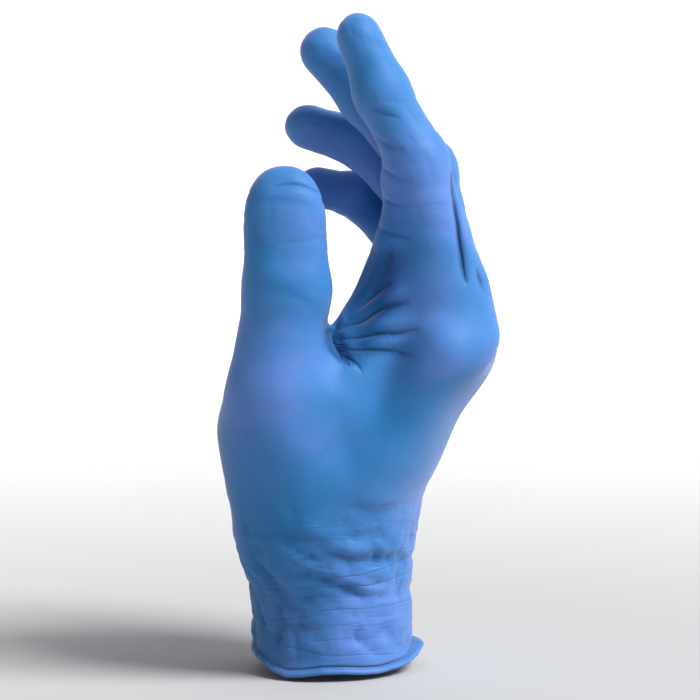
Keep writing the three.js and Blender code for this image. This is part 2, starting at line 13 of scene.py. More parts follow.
import bpy
import numpy as np
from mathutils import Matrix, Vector


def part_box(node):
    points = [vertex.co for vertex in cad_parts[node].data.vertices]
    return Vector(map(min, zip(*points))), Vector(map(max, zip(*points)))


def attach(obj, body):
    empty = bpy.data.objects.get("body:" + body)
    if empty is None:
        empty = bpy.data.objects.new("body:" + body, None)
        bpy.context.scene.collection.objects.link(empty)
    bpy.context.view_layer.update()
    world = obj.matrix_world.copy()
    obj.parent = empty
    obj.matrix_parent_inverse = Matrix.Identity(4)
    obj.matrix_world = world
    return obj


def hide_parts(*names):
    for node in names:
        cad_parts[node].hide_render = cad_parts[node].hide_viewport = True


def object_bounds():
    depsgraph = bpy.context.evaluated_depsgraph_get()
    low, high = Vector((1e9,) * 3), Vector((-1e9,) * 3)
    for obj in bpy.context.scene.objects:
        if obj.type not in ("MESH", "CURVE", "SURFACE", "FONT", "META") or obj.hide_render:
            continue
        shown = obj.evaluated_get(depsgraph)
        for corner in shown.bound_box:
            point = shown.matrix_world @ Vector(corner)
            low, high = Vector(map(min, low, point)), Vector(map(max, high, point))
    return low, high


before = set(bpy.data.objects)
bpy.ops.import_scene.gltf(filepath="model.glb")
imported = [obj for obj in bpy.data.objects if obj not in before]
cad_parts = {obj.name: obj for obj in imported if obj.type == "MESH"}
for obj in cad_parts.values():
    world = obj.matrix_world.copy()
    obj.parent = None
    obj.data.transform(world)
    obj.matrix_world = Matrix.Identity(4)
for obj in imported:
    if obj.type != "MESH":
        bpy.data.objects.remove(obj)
cad_low, cad_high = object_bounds()

PATTERN_HEIGHT = 210.6
MM = (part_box("glove")[1][2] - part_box("glove")[0][2]) / PATTERN_HEIGHT
print("one millimetre of the glove's pattern is", round(MM, 6), "m")

# %% [markdown]
# ## Sizes
#
# All of the pattern is worked out from a few sizes in millimetres, the same as the solid's.
# +Z runs from the cuff to the fingers, -X is the palm's side and -Y the thumb's side, and the
# origin is the middle of the cuff's opening.

# %% Driving sizes, in millimetres and degrees
FILM = 0.5
BEAD_DIAMETER = 1.8
CUFF_LENGTH = 40.0
CUFF_DEPTH = 52.0
CUFF_BREADTH = 60.0

PALM_LENGTH = 77.0
PALM_BREADTH = 88.0
PALM_DEPTH = 26.0
PALM_LEAN = 33.0
HAND_TURN = 6.0

FINGER_LENGTH = 101.0
FINGER_WIDTH = 19.0
THUMB_LENGTH = 104.0
THUMB_WIDTH = 27.0

PALM_BLEND = 12.0
THUMB_BLEND = 6.0
KNUCKLE_BLEND = 4.0
FINGER_ROOT_BLEND = 6.0
FINGER_GAP_BLEND = 3.0

BACK_COLUMNS = 3
SIDE_COLUMNS = 2
PALM_ROWS = 10
FINGER_ROWS = 7
THUMB_ROWS = 8
ROOT_ROWS = 2
BEAD_ROWS = 7
SPLITS = 3

# %% The palm's own directions


def direction(lean, splay):
    """Unit vector tipped by lean towards the palm's side and by splay to the little finger's side."""
    lean, splay = np.radians(lean), np.radians(splay)
    return np.array([-np.sin(lean) * np.cos(splay), np.sin(splay), np.cos(lean) * np.cos(splay)])


turn = np.radians(HAND_TURN)
across = np.array([np.sin(turn), np.cos(turn), 0])
along = np.array([0, 0, np.cos(np.radians(PALM_LEAN))]) + np.sin(np.radians(PALM_LEAN)) * np.array(
    [across[1], -across[0], 0]
)
out = np.cross(across, along)
wrist = np.array([-1, 0, CUFF_LENGTH])


def palm_point(share_across, share_along, share_out):
    """A point in shares of the palm's breadth, length and depth, counted from the wrist."""
    return (
        wrist
        + share_across * PALM_BREADTH * across
        + share_along * PALM_LENGTH * along
        + share_out * PALM_DEPTH * out
    )


print("the knuckles lie near", np.round(palm_point(0, 1, 0), 1))

# %% [markdown]
# ## Limbs and masses
#
# A filled glove is a few rounded limbs that melt into each other: three joints to a finger, and
# broad masses in the palm. Each limb is a tapered oval tube with rounded ends, written
# as a signed distance. Where two meet, a soft minimum joins them in a fillet, which is just what
# a stretched film does when it bridges a hollow.

# %% One limb's distance


def limb(start, end, side, half, deep, cap=None, square=2.0):
    """A tapered oval tube from start to end; half and deep are its half sizes at both ends."""
    axis = end - start
    length = np.linalg.norm(axis)
    axis = axis / length
    back = np.cross(side, axis)
    back = back / np.linalg.norm(back)
    return {
        "start": start, "axis": axis, "back": back, "flank": np.cross(axis, back), "length": length,
        "half": half, "deep": deep, "cap": cap or min(half[1], deep[1]), "square": square,
    }


def limb_field(points, tube):
    """Distance to a tube's skin along the ray from its middle line.

    The section is a superellipse: |flank / half|^n + |back / deep|^n + |past the end / cap|^n.
    """
    offset = points - tube["start"]
    down = offset @ tube["axis"]
    h = np.clip(down / tube["length"], 0, 1)
    s = h * h * (3 - 2 * h)
    past = down - h * tube["length"]
    flank = offset @ tube["flank"]
    back = offset @ tube["back"]
    end = np.where(past > 0, tube["cap"], min(tube["half"][0], tube["deep"][0]))
    half = tube["half"][0] + (tube["half"][1] - tube["half"][0]) * s
    deep = tube["deep"][0] + (tube["deep"][1] - tube["deep"][0]) * s
    n = tube["square"]
    power = np.abs(flank / half) ** n + np.abs(back / deep) ** n + np.abs(past / end) ** n
    reach = np.sqrt(flank**2 + back**2 + past**2)
    return reach - reach / np.maximum(power, 1e-9) ** (1 / n)


def blend(a, b, softness):
    """The smaller of two distances, rounded where they are nearly equal."""
    h = np.maximum(softness - np.abs(a - b), 0) / softness
    return np.minimum(a, b) - h * h * softness / 4


def chain_field(points, tubes, softness):
    """Distance to several tubes that melt into each other."""
    total = limb_field(points, tubes[0])
    for tube in tubes[1:]:
        total = blend(total, limb_field(points, tube), softness)
    return total


# %% The fingers
# Each row: knuckle place as shares of the palm, length and width as shares of a finger's, splay,
# the bones' shares of the length, how far each bone leans, and depth to width at each joint.
FINGERS = {
    "index": (
        (-0.289, 1.015, 0.10), 0.98, 1.00, 1,
        (0.58, 0.24, 0.18), (14.4, 28, 22), (1.22, 0.98, 0.9, 0.77),
    ),
    "middle": (
        (-0.051, 1.024, 0.01), 1.005, 0.98, 1,
        (0.515, 0.29, 0.195), (12.7, 40, 42.5), (1.1, 1.0, 0.92, 0.86),
    ),
    "ring": (
        (0.186, 0.951, 0.03), 0.91, 0.96, -2,
        (0.505, 0.29, 0.205), (15.5, 43, 74), (1.05, 1.0, 0.92, 0.8),
    ),
    "little": (
        (0.385, 0.822, 0.0), 0.765, 0.86, -6,
        (0.53, 0.285, 0.185), (18.4, 43, 78), (1.05, 1.0, 0.92, 0.82),
    ),
}
BONE_WIDTHS = (1.0, 1.0, 0.95, 0.86)
FINGER_TIP = 0.92


def bone_chain(root, lengths, leans, splays):
    """The joints of a digit: each bone steps on from the last in its own direction."""
    steps = [length * direction(lean, splay) for length, lean, splay in zip(lengths, leans, splays)]
    return root + np.vstack([np.zeros(3), np.cumsum(steps, axis=0)])


fingers = {}
for name, (place, length, width, splay, bones, leans, depths) in FINGERS.items():
    lengths = np.array(bones) * length * FINGER_LENGTH
    joints = bone_chain(palm_point(*place), lengths, leans, [splay] * 3)
    half = np.array(BONE_WIDTHS) * width * FINGER_WIDTH / 2
    deep = np.array(depths) * width * FINGER_WIDTH / 2
    caps = (None, None, FINGER_TIP * width * FINGER_WIDTH / 2)
    fingers[name] = [
        limb(joints[i], joints[i + 1], across, half[i : i + 2], deep[i : i + 2], caps[i])
        for i in range(3)
    ]
    print(name, "tip near", np.round(joints[-1], 1))

# %% The thumb
THUMB_ROOT = (-0.198, 0.043, -0.229)
THUMB_BONES = (0.445, 0.31, 0.174)
THUMB_LEANS = (14.9, -5.2, 1.6)
THUMB_SPLAYS = (-20.2, -5.3, -6.3)
THUMB_WIDTHS = np.array([1.6, 1.15, 0.985, 0.96])
THUMB_DEPTHS = np.array([1.45, 1.05, 0.86, 0.72])
THUMB_TIP = 1.5
THUMB_TIP_SQUARE = 2.3

bones = np.array(THUMB_BONES) * THUMB_LENGTH
joints = bone_chain(palm_point(*THUMB_ROOT), bones, THUMB_LEANS, THUMB_SPLAYS)
half = THUMB_WIDTHS * THUMB_WIDTH / 2
deep = THUMB_DEPTHS * THUMB_WIDTH / 2
thumb = [
    limb(
        joints[i], joints[i + 1], np.array([1, 0, 0]), half[i : i + 2], deep[i : i + 2],
        THUMB_TIP * THUMB_WIDTH / 2 if i == 2 else None, THUMB_TIP_SQUARE if i == 2 else 2.0,
    )
    for i in range(3)
]

# %% The palm's masses and the film's webs
# Each row: both ends in shares of the palm, half widths and half depths at both ends, squareness.
MASSES = {
    "carpus": ((0, -0.02, 0), (0, 0.4, -0.02), (0.32, 0.4), (0.82, 0.52), 2.3),
    "back of the palm": ((0, 0.18, 0.26), (0.02, 0.9, 0.04), (0.3, 0.41), (0.42, 0.4), 2.4),
    "palm": ((0, 0.3, -0.02), (0.01, 0.93, -0.02), (0.4, 0.44), (0.5, 0.42), 2.6),
    "heel": ((0.19, 0.02, -0.26), (0.33, 0.517, -0.4), (0.18, 0.16), (0.65, 0.58), 2),
    "ball of the thumb": ((-0.214, 0.0, -0.333), (-0.28, 0.297, -1.048), (0.24, 0.26), (0.84, 0.88), 2),
    "knuckle row": ((-0.33, 0.97, 0), (0.33, 0.84, 0), (0.12, 0.12), (0.46, 0.4), 2),
    "finger webs": ((-0.25, 1.16, -0.24), (0.27, 1.0, -0.2), (0.08, 0.07), (0.3, 0.26), 2),
    "thumb web": ((-0.35, 0.541, -0.782), (-0.2, 1.162, -0.846), (0.11, 0.1), (0.5, 0.5), 2),
    "index web": ((-0.24, 1.137, -0.747), (-0.27, 1.432, -1.449), (0.1, 0.08), (0.5, 0.37), 2),
}
masses = {
    name: limb(
        palm_point(*start), palm_point(*end), across, np.array(half) * PALM_BREADTH,
        np.array(deep) * PALM_DEPTH, None, square,
    )
    for name, (start, end, half, deep, square) in MASSES.items()
}
cuff_half = np.full(2, CUFF_BREADTH / 2)
cuff_deep = np.full(2, CUFF_DEPTH / 2)
sleeve = limb(
    np.array([0, 0, -CUFF_LENGTH]), wrist, np.array([0, 1, 0]), cuff_half, cuff_deep, CUFF_DEPTH / 3
)

# %% The whole glove's field


def skin_field(points):
    """Distance from the glove's outer skin, below zero inside: all limbs and masses, melted."""
    palm = chain_field(points, list(masses.values()), PALM_BLEND)
    body = blend(palm, limb_field(points, sleeve), PALM_BLEND)
    body = blend(body, chain_field(points, thumb, KNUCKLE_BLEND), THUMB_BLEND)
    digits = chain_field(points, fingers["index"], KNUCKLE_BLEND)
    for name in ("middle", "ring", "little"):
        digits = blend(digits, chain_field(points, fingers[name], KNUCKLE_BLEND), FINGER_GAP_BLEND)
    return blend(body, digits, FINGER_ROOT_BLEND)


PROBE = 0.05


def skin_slope(points):
    """The field's slope, from small steps either way along X, Y and Z."""
    rises = [skin_field(points + step) - skin_field(points - step) for step in np.eye(3) * PROBE]
    return np.stack(rises, axis=1) / (2 * PROBE)


def unit(vectors):
    """Each row scaled to length one."""
    return vectors / np.maximum(np.linalg.norm(vectors, axis=1, keepdims=True), 1e-12)


LONGEST_STEP = 4
FLATTEST_SLOPE = 0.5


def settle(points, rounds):
    """Pulls points onto the skin: each round steps down the slope by distance / slope^2."""
    for _ in range(rounds):
        slope = skin_slope(points)
        steep = np.maximum((slope**2).sum(axis=1), FLATTEST_SLOPE**2)
        step = np.clip(skin_field(points) / steep, -LONGEST_STEP, LONGEST_STEP)
        points = points - slope * step[:, None]
    return points


# %% [markdown]
# ## The net
#
# The skin is a net of four-sided cells, so that it splits evenly and the folds run cleanly over it.
# Rings of columns climb from the rim over the palm. At the webs the last ring is shared out
# between the four fingers, and a patch left out of the palm gives the thumb its root. Every tip is
# closed by a small patch, which has no pole.

# %% The palm's rings
RINGS_AT = [0, 0.3, 0.6, 0.85, 1]
palm_centers = [(0, 0.45, -0.2), (0, 0.92, -0.1), (0, 1.2, -0.3)]
ring_centers = np.array([[0, 0, 0], wrist] + [palm_point(*place) for place in palm_centers])
ring_breadths = [CUFF_BREADTH / 2] * 2 + [share * PALM_BREADTH for share in (0.47, 0.48, 0.45)]
ring_depths = [CUFF_DEPTH / 2] * 2 + [share * PALM_DEPTH for share in (0.8, 0.65, 0.45)]
ring_tilts = [0, 0.35, 0.9, 0.7, 0]
ring_drops = [0, 0, 0, 0.12, 0.24]
EDGE = 15

back_columns = 4 * BACK_COLUMNS
columns_round = 2 * (back_columns + SIDE_COLUMNS)
corners = np.cumsum([0, back_columns, SIDE_COLUMNS, back_columns, SIDE_COLUMNS])
corner_angles = [180 - EDGE, EDGE, -EDGE, EDGE - 180, -180 - EDGE]
angles = np.radians(np.interp(np.arange(columns_round), corners, corner_angles))

at = np.linspace(0, 1, PALM_ROWS + 1)
center = np.stack([np.interp(at, RINGS_AT, ring_centers[:, k]) for k in range(3)], axis=1)[:, None]
breadth, depth, tilt, drop = (
    np.interp(at, RINGS_AT, values)[:, None, None]
    for values in (ring_breadths, ring_depths, ring_tilts, ring_drops)
)
outward = np.array([1, 0, 0]) * (1 - tilt) + out * tilt
outward = outward / np.linalg.norm(outward, axis=2, keepdims=True)
cos, sin = np.cos(angles)[None, :, None], np.sin(angles)[None, :, None]
palm_rings = (
    center + across * cos * breadth + outward * sin * depth
    - along * np.maximum(cos, 0) * drop * PALM_LENGTH
)
print("palm net:", palm_rings.shape[:2])

# %% The film between thumb and index finger
WEB_ROWS = {7: 0.4, 8: 0.6, 9: 0.8, 10: 1.0}
WEB_COLUMNS = {24: (0.35, 1.6), 25: (0.85, 0.9), 26: (1.0, 0.0), 27: (0.85, -0.9), 0: (0.25, -1.0)}

web = masses["thumb web"]
for row, h in WEB_ROWS.items():
    for column, (share, aside) in WEB_COLUMNS.items():
        edge = (
            web["start"] + h * web["length"] * web["axis"]
            - web["deep"][0] * web["back"] + aside * web["half"][0] * web["flank"]
        )
        palm_rings[row, column] += share * (edge - palm_rings[row, column])

# %% The rim's waves
# How far the rim hangs below the cuff's opening and flares, at even turns from +X over -Y.
RIM_DROPS = np.array([-2.4, 1, 2.2, 1.2, 2.9, -1.4, -2.9, -2, -1, -0.5, -1, -2])
RIM_FLARES = np.array([3.0, 2.1, 0.9, 0.3, 0.3, 0, 0.3, 0, 0, 0, 0.5, 1.8])


def round_table(table, points):
    """The value of a round table at each point's turn about Z, gliding from entry to entry."""
    place = (-np.arctan2(points[:, 1], points[:, 0]) / (2 * np.pi) % 1) * len(table)
    i = place.astype(int)
    h = place - i
    here, following = table[i % len(table)], table[(i + 1) % len(table)]
    return here + (following - here) * h * h * (3 - 2 * h)


rim_points = palm_rings[0]
flares = round_table(RIM_FLARES, rim_points)[:, None]
drops = round_table(RIM_DROPS, rim_points)
palm_rings[0] = rim_points + unit(rim_points) * flares
palm_rings[0, :, 2] -= drops

# %% Cells between rings, tubes and their end patches
net_points = list(palm_rings.reshape(-1, 3))
net_cells = []
held = set()


def add_points(new):
    """Adds points to the net and returns their numbers."""
    first = len(net_points)
    net_points.extend(new)
    return list(range(first, len(net_points)))


TIP_PULL = 0.8


def close_patch(ring, wide, high, tip):
    """Closes a ring of 2 x (wide + high) points with a patch that bulges to the tip."""
    n = len(ring)
    grid = np.empty((high + 1, wide + 1), int)
    grid[0] = ring[: wide + 1]
    grid[:, wide] = ring[wide : wide + high + 1]
    grid[high] = ring[wide + high : n - high + 1][::-1]
    grid[1:high, 0] = [ring[n - j] for j in range(1, high)]
    u, v = np.meshgrid(np.arange(1, wide) / wide, np.arange(1, high) / high)
    u, v = u[..., None], v[..., None]
    corners = grid[[0, 0, high, high], [0, wide, 0, wide]]
    a, b, c, d = (np.array(net_points[corner]) for corner in corners)
    inside = (a + (b - a) * u) * (1 - v) + (c + (d - c) * u) * v
    inside = inside + TIP_PULL * (tip - inside)
    grid[1:high, 1:wide] = np.reshape(add_points(inside.reshape(-1, 3)), (high - 1, wide - 1))
    held.update(grid[1:high, 1:wide].ravel().tolist())
    for j in range(high):
        for i in range(wide):
            net_cells.append([grid[j, i], grid[j, i + 1], grid[j + 1, i + 1], grid[j + 1, i]])


DOME_SHARE = 0.55


def add_tube(ring, tubes, rows, start, turns, wide, high, slant=0.0):
    """Rings of points along a digit, each an oval across its bone, then a patch over the tip."""
    last = tubes[-1]
    total = sum(t["length"] for t in tubes) + DOME_SHARE * last["cap"]
    cos, sin = np.cos(turns)[:, None], np.sin(turns)[:, None]
    for r in range(1, rows + 1):
        down = (start + (1 - start) * r / rows) * total
        for tube in tubes:
            if down <= tube["length"] or tube is last:
                break
            down -= tube["length"]
        h = min(down / tube["length"], 1)
        dome = np.sqrt(1 - max((down - tube["length"]) / last["cap"], 0) ** 2)
        half = (tube["half"][0] + (tube["half"][1] - tube["half"][0]) * h) * dome
        deep = (tube["deep"][0] + (tube["deep"][1] - tube["deep"][0]) * h) * dome
        rise = slant * max(1 - (r - 1) / (rows - 2), 0) * (1 + cos) / 2
        oval = tube["flank"] * cos * half + tube["back"] * sin * deep
        new = add_points(tube["start"] + tube["axis"] * (down + rise) + oval)
        for i in range(len(ring)):
            j = (i + 1) % len(ring)
            net_cells.append([ring[i], ring[j], new[j], new[i]])
        if r > ROOT_ROWS:
            held.update(new)
        ring = new
    tip = last["start"] + last["axis"] * (last["length"] + last["cap"])
    close_patch(ring, wide, high, tip)


# %% The palm's cells, with the thumb's patch left out
THUMB_ROWS_FROM = 4
THUMB_ROWS_TO = 7
THUMB_COLUMNS = 4
THUMB_BEFORE_END = 3
thumb_first = columns_round - SIDE_COLUMNS - THUMB_BEFORE_END

number = np.arange(palm_rings.shape[0] * columns_round).reshape(-1, columns_round)
number = np.hstack([number, number[:, :1]])
for r in range(PALM_ROWS):
    for c in range(columns_round):
        in_rows = THUMB_ROWS_FROM <= r < THUMB_ROWS_TO
        if not (in_rows and thumb_first <= c < thumb_first + THUMB_COLUMNS):
            net_cells.append([number[r, c], number[r, c + 1], number[r + 1, c + 1], number[r + 1, c]])

# %% The fingers' tubes
WEB_LIFT = 4
FINGER_START = 0.17

last_row = number[-1].tolist()
back_point = last_row[: back_columns + 1]
palm_side_point = last_row[back_columns + SIDE_COLUMNS : 2 * back_columns + SIDE_COLUMNS + 1][::-1]

webs = [last_row[2 * back_columns + SIDE_COLUMNS + 1 : columns_round]]
for w in (1, 2, 3):
    top = np.array(net_points[back_point[w * BACK_COLUMNS]])
    bottom = np.array(net_points[palm_side_point[w * BACK_COLUMNS]])
    shares = (np.arange(1, SIDE_COLUMNS) / SIDE_COLUMNS)[:, None]
    webs.append(add_points(bottom + (top - bottom) * shares + [0, 0, WEB_LIFT]))
webs.append(last_row[back_columns + 1 : back_columns + SIDE_COLUMNS][::-1])

finger_round = 2 * (BACK_COLUMNS + SIDE_COLUMNS)
column_turns = 360 * np.arange(finger_round) / finger_round
finger_turns = np.radians(180 - 180 * SIDE_COLUMNS / finger_round - column_turns)
for n, tubes in enumerate(fingers.values()):
    columns = slice(n * BACK_COLUMNS, (n + 1) * BACK_COLUMNS + 1)
    ring = back_point[columns] + webs[n + 1][::-1] + palm_side_point[columns][::-1] + webs[n]
    add_tube(ring, tubes, FINGER_ROWS, FINGER_START, finger_turns, BACK_COLUMNS, SIDE_COLUMNS)

# %% The thumb's tube
THUMB_START = 0.25
THUMB_SLANT = 32
THUMB_TURN = 135

low, high = number[THUMB_ROWS_FROM], number[THUMB_ROWS_TO]
first, end = thumb_first, thumb_first + THUMB_COLUMNS
rows = range(THUMB_ROWS_FROM, THUMB_ROWS_TO)
ring = (
    low[first:end].tolist() + [number[r, end] for r in rows]
    + high[first + 1 : end + 1][::-1].tolist() + [number[r + 1, first] for r in reversed(rows)]
)
column_turns = 360 * np.arange(len(ring)) / len(ring)
thumb_turns = np.radians(THUMB_TURN + 180 * THUMB_COLUMNS / len(ring) - column_turns)
add_tube(
    ring, thumb, THUMB_ROWS, THUMB_START, thumb_turns, THUMB_COLUMNS,
    THUMB_ROWS_TO - THUMB_ROWS_FROM, THUMB_SLANT,
)

used, cells = np.unique(np.array(net_cells, int), return_inverse=True)
cells = cells.reshape(-1, 4)
points = np.array(net_points, float)[used]
print("net:", len(points), "points,", len(cells), "cells")

# %% [markdown]
# ## Pulling the net tight
#
# Each point slides along the skin to the middle of its neighbours, which evens the cells out as
# tension does in a real film. Then every cell is split into four and pulled onto the skin again.

# %% Relaxing and splitting
SLIDE = 0.6
COARSE_ROUNDS = 14
FINE_ROUNDS = (6, 3, 2)

is_rim = used < columns_round
is_held = is_rim | np.isin(used, list(held))


def cell_edges(cells):
    """The two ends of each cell's four sides."""
    return np.stack([cells, np.roll(cells, -1, axis=1)], axis=2)


def relax(points, rounds):
    """Slides free points along the skin to the middle of their neighbours, and settles them."""
    ends = np.unique(np.sort(cell_edges(cells).reshape(-1, 2), axis=1), axis=0)
    a, b = np.vstack([ends, ends[:, ::-1]]).T
    count = np.bincount(a, minlength=len(points))[:, None]
    for _ in range(rounds):
        sums = [np.bincount(a, points[b, k], len(points)) for k in range(3)]
        move = SLIDE * (np.stack(sums, axis=1) / count - points)
        normal = unit(skin_slope(points))
        move -= normal * (move * normal).sum(axis=1, keepdims=True)
        points = np.where(is_held[:, None], points, points + move)
        points = np.where(is_rim[:, None], points, settle(points, 2))
    return points


def split(points, cells, rim, fixed):
    """Splits each cell into four, with new points at the middles of its sides and of the cell."""
    sides = np.sort(cell_edges(cells), axis=2)
    ends, side = np.unique(sides.reshape(-1, 2), axis=0, return_inverse=True)
    side = side.reshape(len(cells), 4) + len(points)
    middle = np.arange(len(cells)) + len(points) + len(ends)
    new = np.vstack([points, points[ends].mean(axis=1), points[cells].mean(axis=1)])
    quarters = [np.stack([cells[:, k], side[:, k], middle, side[:, k - 1]], axis=1) for k in range(4)]
    free = np.zeros(len(cells), bool)
    flags = [np.concatenate([flag, flag[ends].all(axis=1), free]) for flag in (rim, fixed)]
    return new, np.vstack(quarters), *flags


points = np.where(is_rim[:, None], points, settle(points, 6))
points = relax(points, COARSE_ROUNDS)
for rounds in FINE_ROUNDS[:SPLITS]:
    points, cells, is_rim, is_held = split(points, cells, is_rim, is_held)
    points = np.where(is_rim[:, None], points, settle(points, 4))
    points = relax(points, rounds)
print("skin:", len(points), "points,", len(cells), "cells")

# %% [markdown]
# ## Folds
#
# Film pulled from two sides throws long folds that fan out from the tight spot, and slack
# film bunches into short creases. Each fold here is a bent line over the skin with a sharp valley
# and a soft ridge beside it. Between the named folds lies a fine crumple, a ridged noise that
# is strong at the wrist, where the film is slack, and all but gone where it is stretched.

# %% Noise on points


def value_noise(points, size, seed):
    """Smooth noise from -1 to 1: random values on a lattice of that size, blended between."""
    p = points / size + 1000
    cell = np.floor(p).astype(np.int64)
    f = p - cell
    f = f * f * (3 - 2 * f)
    total = np.zeros(len(points))
    for corner in range(8):
        step = np.array([corner & 1, corner >> 1 & 1, corner >> 2 & 1])
        key = (cell + step) @ np.array([73856093, 19349663, 83492791]) + seed * 374761393
        key = (key ^ (key >> 13)) * 1274126177 & 0x7FFFFFFF
        value = (key ^ (key >> 16)) % 65536 / 32768 - 1
        total += value * np.prod(np.where(step, f, 1 - f), axis=1)
    return total


def crumple(points, size, seed, stretch=(1, 1, 1)):
    """Creased noise from 0 to 1: sharp ridges where a warped noise crosses zero."""
    p = points * np.array(stretch)
    warp = np.stack([value_noise(p, size * 1.7, seed + k) for k in (1, 2, 3)], axis=1)
    return 1 - np.abs(value_noise(p + warp * size * 0.6, size, seed)) ** 0.7


# %% The named folds
# Each row: a line of X and Z over the side that faces the thumb, depth, half width, ridge to valley
# and how sharp the valley's bottom line is, where 0 is a soft form with no line. Neighbours among
# the sharp rows follow each other, so that they take turns between the two lists below.
FOLDS = {
    "crotch 1": ([(9, 118), (14, 124), (18, 133)], 0.8, 1.5, 0.5, 0.7),
    "crotch 2": ([(3, 111), (10, 117), (18, 121)], 0.9, 1.4, 0.6, 0.9),
    "crotch 3": ([(1, 107.5), (7.5, 110.5), (16.5, 113.5), (24, 115.5)], 1.1, 1.5, 0.6, 1.0),
    "crotch 4": ([(1, 104.5), (13, 105.5), (27, 107)], 1.0, 1.4, 0.7, 1.0),
    "crotch 5": ([(1, 101.5), (12, 100.5), (26, 99.5)], 0.9, 1.5, 0.6, 0.9),
    "crotch 6": ([(1.5, 99.5), (6, 97.5), (9, 94)], 0.6, 1.3, 0.5, 0.7),
    "crotch pocket": ([(4, 97), (9.5, 111), (17, 133)], 3.4, 6.5, 0.0, 0.0),
    "thumb edge": ([(-0.3, 111), (0.6, 103), (5, 96)], 2.4, 1.9, 0.2, 1.3),
    "index back": ([(37.0, 158), (39.6, 139), (41.6, 121)], 1.5, 1.3, 0.4, 1.6),
    "knuckle back": ([(45, 126), (46, 123), (47, 119)], 0.8, 1.1, 0.4, 1.0),
    "wrist 1": ([(-13, 37.5), (3, 35), (17, 33.5), (24, 30)], 1.0, 1.6, 0.8, 0.0),
    "wrist 2": ([(-20, 45), (-8, 40.5), (4, 39.5)], 0.8, 1.8, 0.6, 0.0),
    "wrist 3": ([(1, 40), (8, 42.5), (16, 41)], 0.7, 1.4, 0.5, 0.0),
    "wrist 4": ([(-4, 47), (6, 45.5), (15, 48)], 0.5, 1.5, 0.5, 0.0),
    "wrist 5": ([(4, 52), (12, 50), (20, 51.5)], 0.4, 1.5, 0.5, 0.0),
    "wrist 6": ([(-26, 36), (-17, 22), (-9, 17)], 1.2, 2.2, 0.8, 0.0),
    "cuff 1": ([(-18, 20), (-17, 10), (-19, 3)], 0.9, 1.8, 0.6, 0.0),
    "cuff 2": ([(-17, 11), (-10, 12.5), (-4, 12)], 0.7, 1.5, 0.5, 0.0),
    "cuff 3": ([(3, 22), (10, 27), (18, 26)], 0.7, 1.5, 0.5, 0.0),
    "cuff 4": ([(2, 9), (10, 8), (20, 12)], 0.7, 1.6, 0.5, 0.0),
    "cuff 5": ([(-6, 30), (4, 25), (15, 20)], 0.7, 1.7, 0.6, 0.0),
    "cuff 6": ([(8, 18), (16, 15), (23, 17)], 0.6, 1.5, 0.6, 0.0),
    "cuff 7": ([(-22, 30), (-14, 24), (-5, 21)], 0.8, 1.8, 0.6, 0.0),
    "thumb tip 1": ([(-19, 151), (-11, 152.5), (-3, 149)], 0.35, 1.0, 0.5, 0.5),
    "thumb tip 2": ([(-24, 147), (-14, 147.5), (-5, 145)], 0.3, 1.0, 0.5, 0.0),
    "thumb side": ([(-25, 141), (-23.5, 136), (-22, 132)], 0.3, 1.1, 0.5, 0.0),
    "thumb bend 1": ([(-26, 123), (-15, 120), (-5, 122)], 0.35, 2.4, 0.3, 0.0),
    "thumb bend 2": ([(-15, 119), (-10, 117), (-4, 112)], 0.2, 1.4, 0.4, 0.0),
    "index crease 1": ([(12, 177), (16, 174.5), (21, 173)], 0.4, 1.0, 0.6, 0.4),
    "index crease 2": ([(12.5, 167), (17, 164), (22, 163)], 0.5, 1.1, 0.6, 0.4),
    "index crease 3": ([(13, 159), (18, 155.5), (25, 153)], 0.4, 1.1, 0.6, 0.3),
    "index crease 4": ([(13, 149), (18, 146.5), (24, 146)], 0.4, 1.1, 0.5, 0.3),
    "index crease 5": ([(13, 140), (18, 137), (24, 136)], 0.4, 1.1, 0.5, 0.4),
}


def ramp(values, low, high):
    """From 0 at low to 1 at high, eased at both ends."""
    h = np.clip((values - low) / (high - low), 0, 1)
    return h * h * (3 - 2 * h)


def smooth_line(line):
    """Nine points on the one polynomial curve that passes through a row's points in turn."""
    line = np.array(line, float)
    share = np.linspace(0, 1, len(line))
    curve = [np.polyfit(share, column, len(line) - 1) for column in line.T]
    return np.stack([np.polyval(c, np.linspace(0, 1, 9)) for c in curve], axis=1)


# A fold wavers by WAVER over WAVER_SIZE, its sharp line fades between the distances LINE_REACH, and
# folds stay on the thumb's side, which is narrower where the fingers are free.
WAVER = 0.7
WAVER_SIZE = 7
LINE_REACH = (3.5, 2.0)
FREE_FINGERS_FROM = 112
FINGER_FOLDS_TO = -17
PALM_FOLDS_TO = 5


